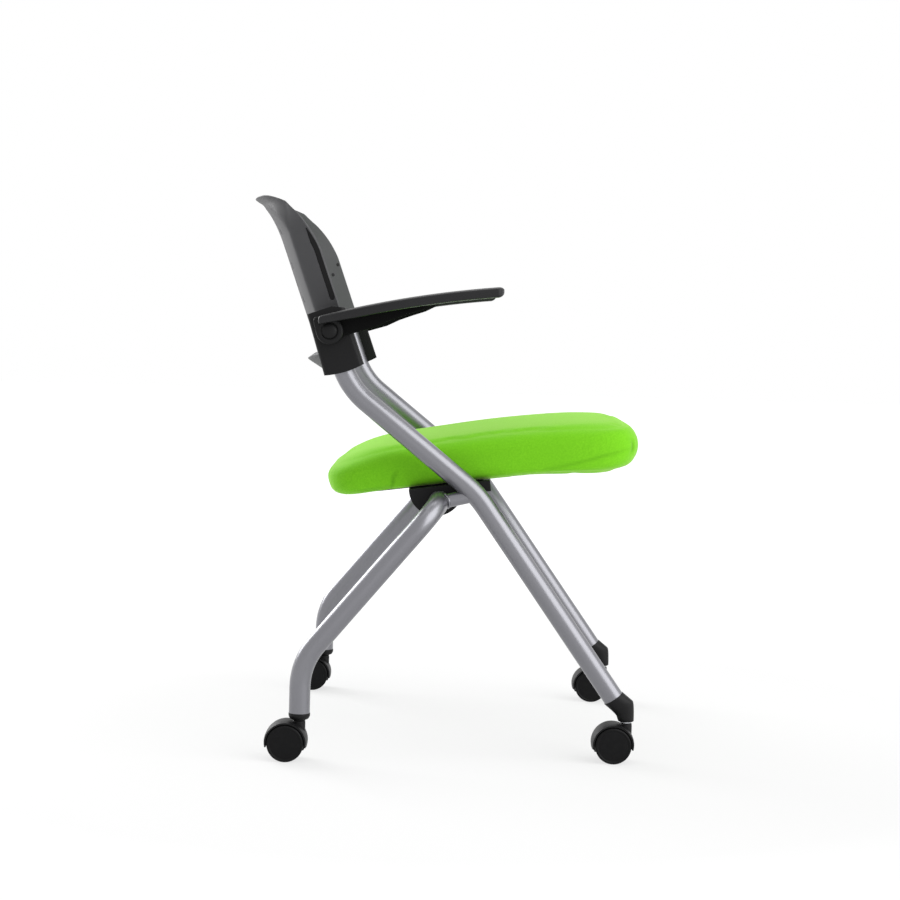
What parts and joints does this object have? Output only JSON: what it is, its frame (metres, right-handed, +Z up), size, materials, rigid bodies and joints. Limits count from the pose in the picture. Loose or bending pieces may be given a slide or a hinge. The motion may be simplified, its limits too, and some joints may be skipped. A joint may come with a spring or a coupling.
{
  "type": "nesting chair",
  "caption": "Nesting chair: bent steel tube frame on twin-wheel casters, upholstered seat that flips up, moulded perforated back and flip-up arms.",
  "frame": {"origin": "on the floor, in the middle of the overall width and depth", "axes": "+X to the left-hand side of a sitter, +Y to the back of the chair, +Z up; the sitter faces -Y"},
  "size_m": [0.6086, 0.5614, 0.7696],
  "materials": {
    "silver_paint": "satin silver paint",
    "black_plastic": "fine matt texture",
    "grey_plastic": "fine matt texture",
    "wheel_plastic": "satin",
    "green_fabric": "plain woven upholstery",
    "zinc_steel": "zinc plated",
    "dark_board": "black underside board"
  },
  "bodies": {
    "frame": {"main_tube_right": "silver_paint", "link_tube_right": "silver_paint", "front_socket_right": "black_plastic", "rear_ferrule_right": "black_plastic", "main_tube_left": "silver_paint", "link_tube_left": "silver_paint", "front_socket_left": "black_plastic", "rear_ferrule_left": "black_plastic", "rear_leg_tube": "silver_paint", "front_cross_tube": "silver_paint", "back_shell": "grey_plastic", "back_bracket_right": "black_plastic", "back_screw_lower_right": "zinc_steel", "back_screw_upper_right": "zinc_steel", "back_bracket_left": "black_plastic", "back_screw_lower_left": "zinc_steel", "back_screw_upper_left": "zinc_steel", "front_caster_right_stem": "zinc_steel", "rear_caster_right_stem": "zinc_steel", "front_caster_left_stem": "zinc_steel", "rear_caster_left_stem": "zinc_steel"},
    "seat": {"seat_cushion": "green_fabric", "seat_pan": "dark_board", "seat_bracket_right": "black_plastic", "seat_screw_front_right": "zinc_steel", "seat_screw_rear_right": "zinc_steel", "seat_bracket_left": "black_plastic", "seat_screw_front_left": "zinc_steel", "seat_screw_rear_left": "zinc_steel"},
    "arm_right": {"arm_right": "black_plastic", "arm_bolt_right": "black_plastic"},
    "arm_left": {"arm_left": "black_plastic", "arm_bolt_left": "black_plastic"},
    "front_caster_right": {"front_caster_right_hood": "black_plastic", "front_caster_right_axle": "zinc_steel"},
    "front_caster_right_wheel_right": {"front_caster_right_wheel_right": "wheel_plastic"},
    "front_caster_right_wheel_left": {"front_caster_right_wheel_left": "wheel_plastic"},
    "rear_caster_right": {"rear_caster_right_hood": "black_plastic", "rear_caster_right_axle": "zinc_steel"},
    "rear_caster_right_wheel_right": {"rear_caster_right_wheel_right": "wheel_plastic"},
    "rear_caster_right_wheel_left": {"rear_caster_right_wheel_left": "wheel_plastic"},
    "front_caster_left": {"front_caster_left_hood": "black_plastic", "front_caster_left_axle": "zinc_steel"},
    "front_caster_left_wheel_right": {"front_caster_left_wheel_right": "wheel_plastic"},
    "front_caster_left_wheel_left": {"front_caster_left_wheel_left": "wheel_plastic"},
    "rear_caster_left": {"rear_caster_left_hood": "black_plastic", "rear_caster_left_axle": "zinc_steel"},
    "rear_caster_left_wheel_right": {"rear_caster_left_wheel_right": "wheel_plastic"},
    "rear_caster_left_wheel_left": {"rear_caster_left_wheel_left": "wheel_plastic"}
  },
  "joints": [
    {"name": "seat_flip", "type": "hinge", "parent": "frame", "child": "seat", "pos_m": [0, 0.00119, 0.352], "axis": [-1, 0, 0], "range_deg": [0, 80]},
    {"name": "arm_right_flip", "type": "hinge", "parent": "frame", "child": "arm_right", "pos_m": [-0.265, 0.15465, 0.58334], "axis": [-1, 0, 0], "range_deg": [0, 95]},
    {"name": "arm_left_flip", "type": "hinge", "parent": "frame", "child": "arm_left", "pos_m": [0.265, 0.15465, 0.58334], "axis": [-1, 0, 0], "range_deg": [0, 95]},
    {"name": "front_caster_right_swivel", "type": "hinge", "parent": "frame", "child": "front_caster_right", "pos_m": [-0.238, -0.2641, 0.05], "axis": [0, 0, 1], "continuous": true},
    {"name": "front_caster_right_wheel_right_spin", "type": "hinge", "parent": "front_caster_right", "child": "front_caster_right_wheel_right", "pos_m": [-0.25105, -0.2466, 0.025], "axis": [1, 0, 0], "continuous": true},
    {"name": "front_caster_right_wheel_left_spin", "type": "hinge", "parent": "front_caster_right", "child": "front_caster_right_wheel_left", "pos_m": [-0.22495, -0.2466, 0.025], "axis": [1, 0, 0], "continuous": true},
    {"name": "front_caster_left_swivel", "type": "hinge", "parent": "frame", "child": "front_caster_left", "pos_m": [0.238, -0.2641, 0.05], "axis": [0, 0, 1], "continuous": true},
    {"name": "front_caster_left_wheel_right_spin", "type": "hinge", "parent": "front_caster_left", "child": "front_caster_left_wheel_right", "pos_m": [0.22495, -0.2466, 0.025], "axis": [1, 0, 0], "continuous": true},
    {"name": "front_caster_left_wheel_left_spin", "type": "hinge", "parent": "front_caster_left", "child": "front_caster_left_wheel_left", "pos_m": [0.25105, -0.2466, 0.025], "axis": [1, 0, 0], "continuous": true},
    {"name": "rear_caster_right_swivel", "type": "hinge", "parent": "frame", "child": "rear_caster_right", "pos_m": [-0.28, 0.18318, 0.05], "axis": [0, 0, 1], "continuous": true},
    {"name": "rear_caster_right_wheel_right_spin", "type": "hinge", "parent": "rear_caster_right", "child": "rear_caster_right_wheel_right", "pos_m": [-0.29305, 0.20069, 0.025], "axis": [1, 0, 0], "continuous": true},
    {"name": "rear_caster_right_wheel_left_spin", "type": "hinge", "parent": "rear_caster_right", "child": "rear_caster_right_wheel_left", "pos_m": [-0.26695, 0.20069, 0.025], "axis": [1, 0, 0], "continuous": true},
    {"name": "rear_caster_left_swivel", "type": "hinge", "parent": "frame", "child": "rear_caster_left", "pos_m": [0.28, 0.18318, 0.05], "axis": [0, 0, 1], "continuous": true},
    {"name": "rear_caster_left_wheel_right_spin", "type": "hinge", "parent": "rear_caster_left", "child": "rear_caster_left_wheel_right", "pos_m": [0.26695, 0.20069, 0.025], "axis": [1, 0, 0], "continuous": true},
    {"name": "rear_caster_left_wheel_left_spin", "type": "hinge", "parent": "rear_caster_left", "child": "rear_caster_left_wheel_left", "pos_m": [0.29305, 0.20069, 0.025], "axis": [1, 0, 0], "continuous": true}
  ]
}
